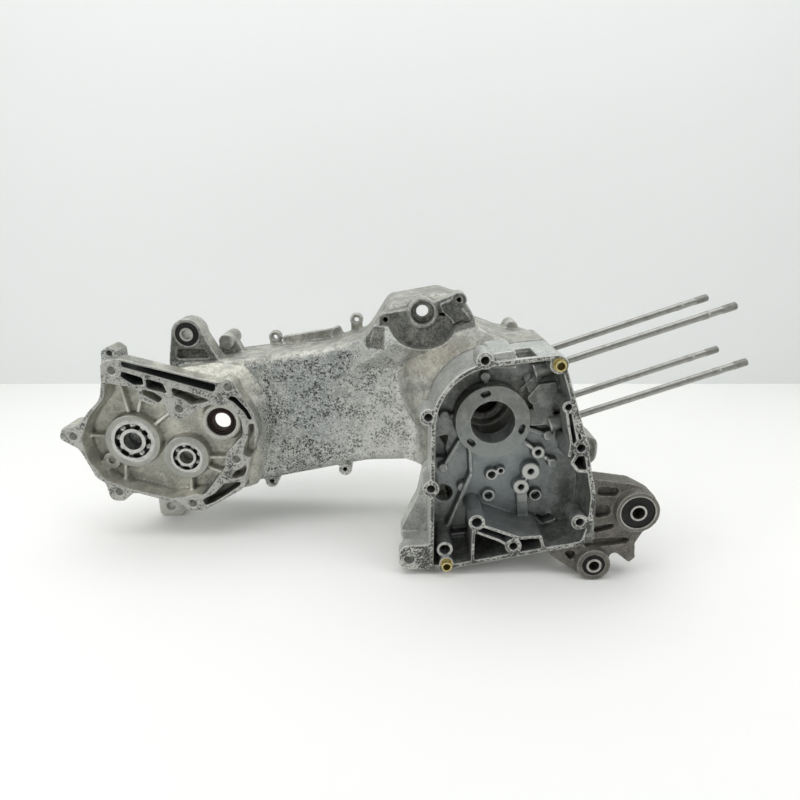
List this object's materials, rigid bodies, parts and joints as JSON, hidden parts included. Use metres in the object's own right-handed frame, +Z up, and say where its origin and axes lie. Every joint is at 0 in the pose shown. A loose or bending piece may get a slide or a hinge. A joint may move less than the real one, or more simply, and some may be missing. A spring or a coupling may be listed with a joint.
{
  "type": "engine crankcase",
  "caption": "Scooter engine crankcase, both halves joined, with open stator chamber, open final drive case, belt case, hanger ears and long cylinder studs.",
  "frame": {"origin": "on the crankshaft axis, at the face of the stator flange", "axes": "+Y along the crankshaft to the left side of the engine, +X forward towards the cylinder, +Z up"},
  "size_m": [0.693, 0.193, 0.2698],
  "materials": {
    "cast_aluminium": "sand-cast aluminium with oxide bloom and dark speckled corrosion",
    "dark_cast_aluminium": "oil-darkened cast aluminium with bright machined faces",
    "bearing_steel": "ground bearing steel",
    "bright_steel": "plain steel, lightly tarnished",
    "dark_cage": "dark ball cage",
    "yellow_brass": "yellow plated dowel",
    "black_rubber": "black bonded rubber",
    "seal_rubber": "brown-black seal rubber",
    "gasket_paper": "dark jointing sheet"
  },
  "bodies": {
    "crankcase": {"right_crankcase": "dark_cast_aluminium", "left_crankcase": "cast_aluminium", "crankcase_gasket": "gasket_paper", "cylinder_studs": "bright_steel", "cylinder_base_dowels": "bright_steel", "upper_cover_dowel": "yellow_brass", "lower_cover_dowel": "yellow_brass", "case_bolts": "bright_steel", "final_bearing_outer_ring": "bearing_steel", "counter_bearing_outer_ring": "bearing_steel", "case_dowels": "bright_steel", "belt_cover_dowels": "bright_steel", "input_seal_case": "black_rubber", "input_seal_lip": "seal_rubber", "crank_seal_case": "bright_steel", "crank_seal_lip": "seal_rubber", "shock_bush_rubber": "black_rubber", "shock_bush_sleeve": "bright_steel", "hanger_bush_shell": "bright_steel", "hanger_bush_rubber": "black_rubber", "hanger_bush_sleeve": "bright_steel", "lower_bush_rubber": "black_rubber", "lower_bush_sleeve": "bright_steel", "oil_strainer_cap": "cast_aluminium", "oil_strainer_washer": "gasket_paper", "oil_strainer_spring": "bright_steel", "oil_strainer_screen": "bright_steel", "gear_drain_screw": "bright_steel", "gear_drain_washer": "gasket_paper"},
    "final_ring": {"final_bearing_inner_ring": "bearing_steel"},
    "final_cage": {"final_bearing_balls": "bearing_steel", "final_bearing_cage": "dark_cage"},
    "counter_ring": {"counter_bearing_inner_ring": "bearing_steel"},
    "counter_cage": {"counter_bearing_balls": "bearing_steel", "counter_bearing_cage": "dark_cage"}
  },
  "joints": [
    {"name": "final_ring_spin", "type": "hinge", "parent": "crankcase", "child": "final_ring", "pos_m": [-0.3788, 0.065, -0.0415], "axis": [0, 1, 0], "continuous": true},
    {"name": "final_cage_spin", "type": "hinge", "parent": "crankcase", "child": "final_cage", "pos_m": [-0.3788, 0.065, -0.0415], "axis": [0, 1, 0], "continuous": true},
    {"name": "counter_ring_spin", "type": "hinge", "parent": "crankcase", "child": "counter_ring", "pos_m": [-0.3227, 0.0635, -0.0604], "axis": [0, 1, 0], "continuous": true},
    {"name": "counter_cage_spin", "type": "hinge", "parent": "crankcase", "child": "counter_cage", "pos_m": [-0.3227, 0.0635, -0.0604], "axis": [0, 1, 0], "continuous": true}
  ],
  "couplings": [
    {"joint": "final_cage_spin", "follows": "final_ring_spin", "ratio": 0.3815},
    {"joint": "counter_cage_spin", "follows": "counter_ring_spin", "ratio": 0.381}
  ]
}
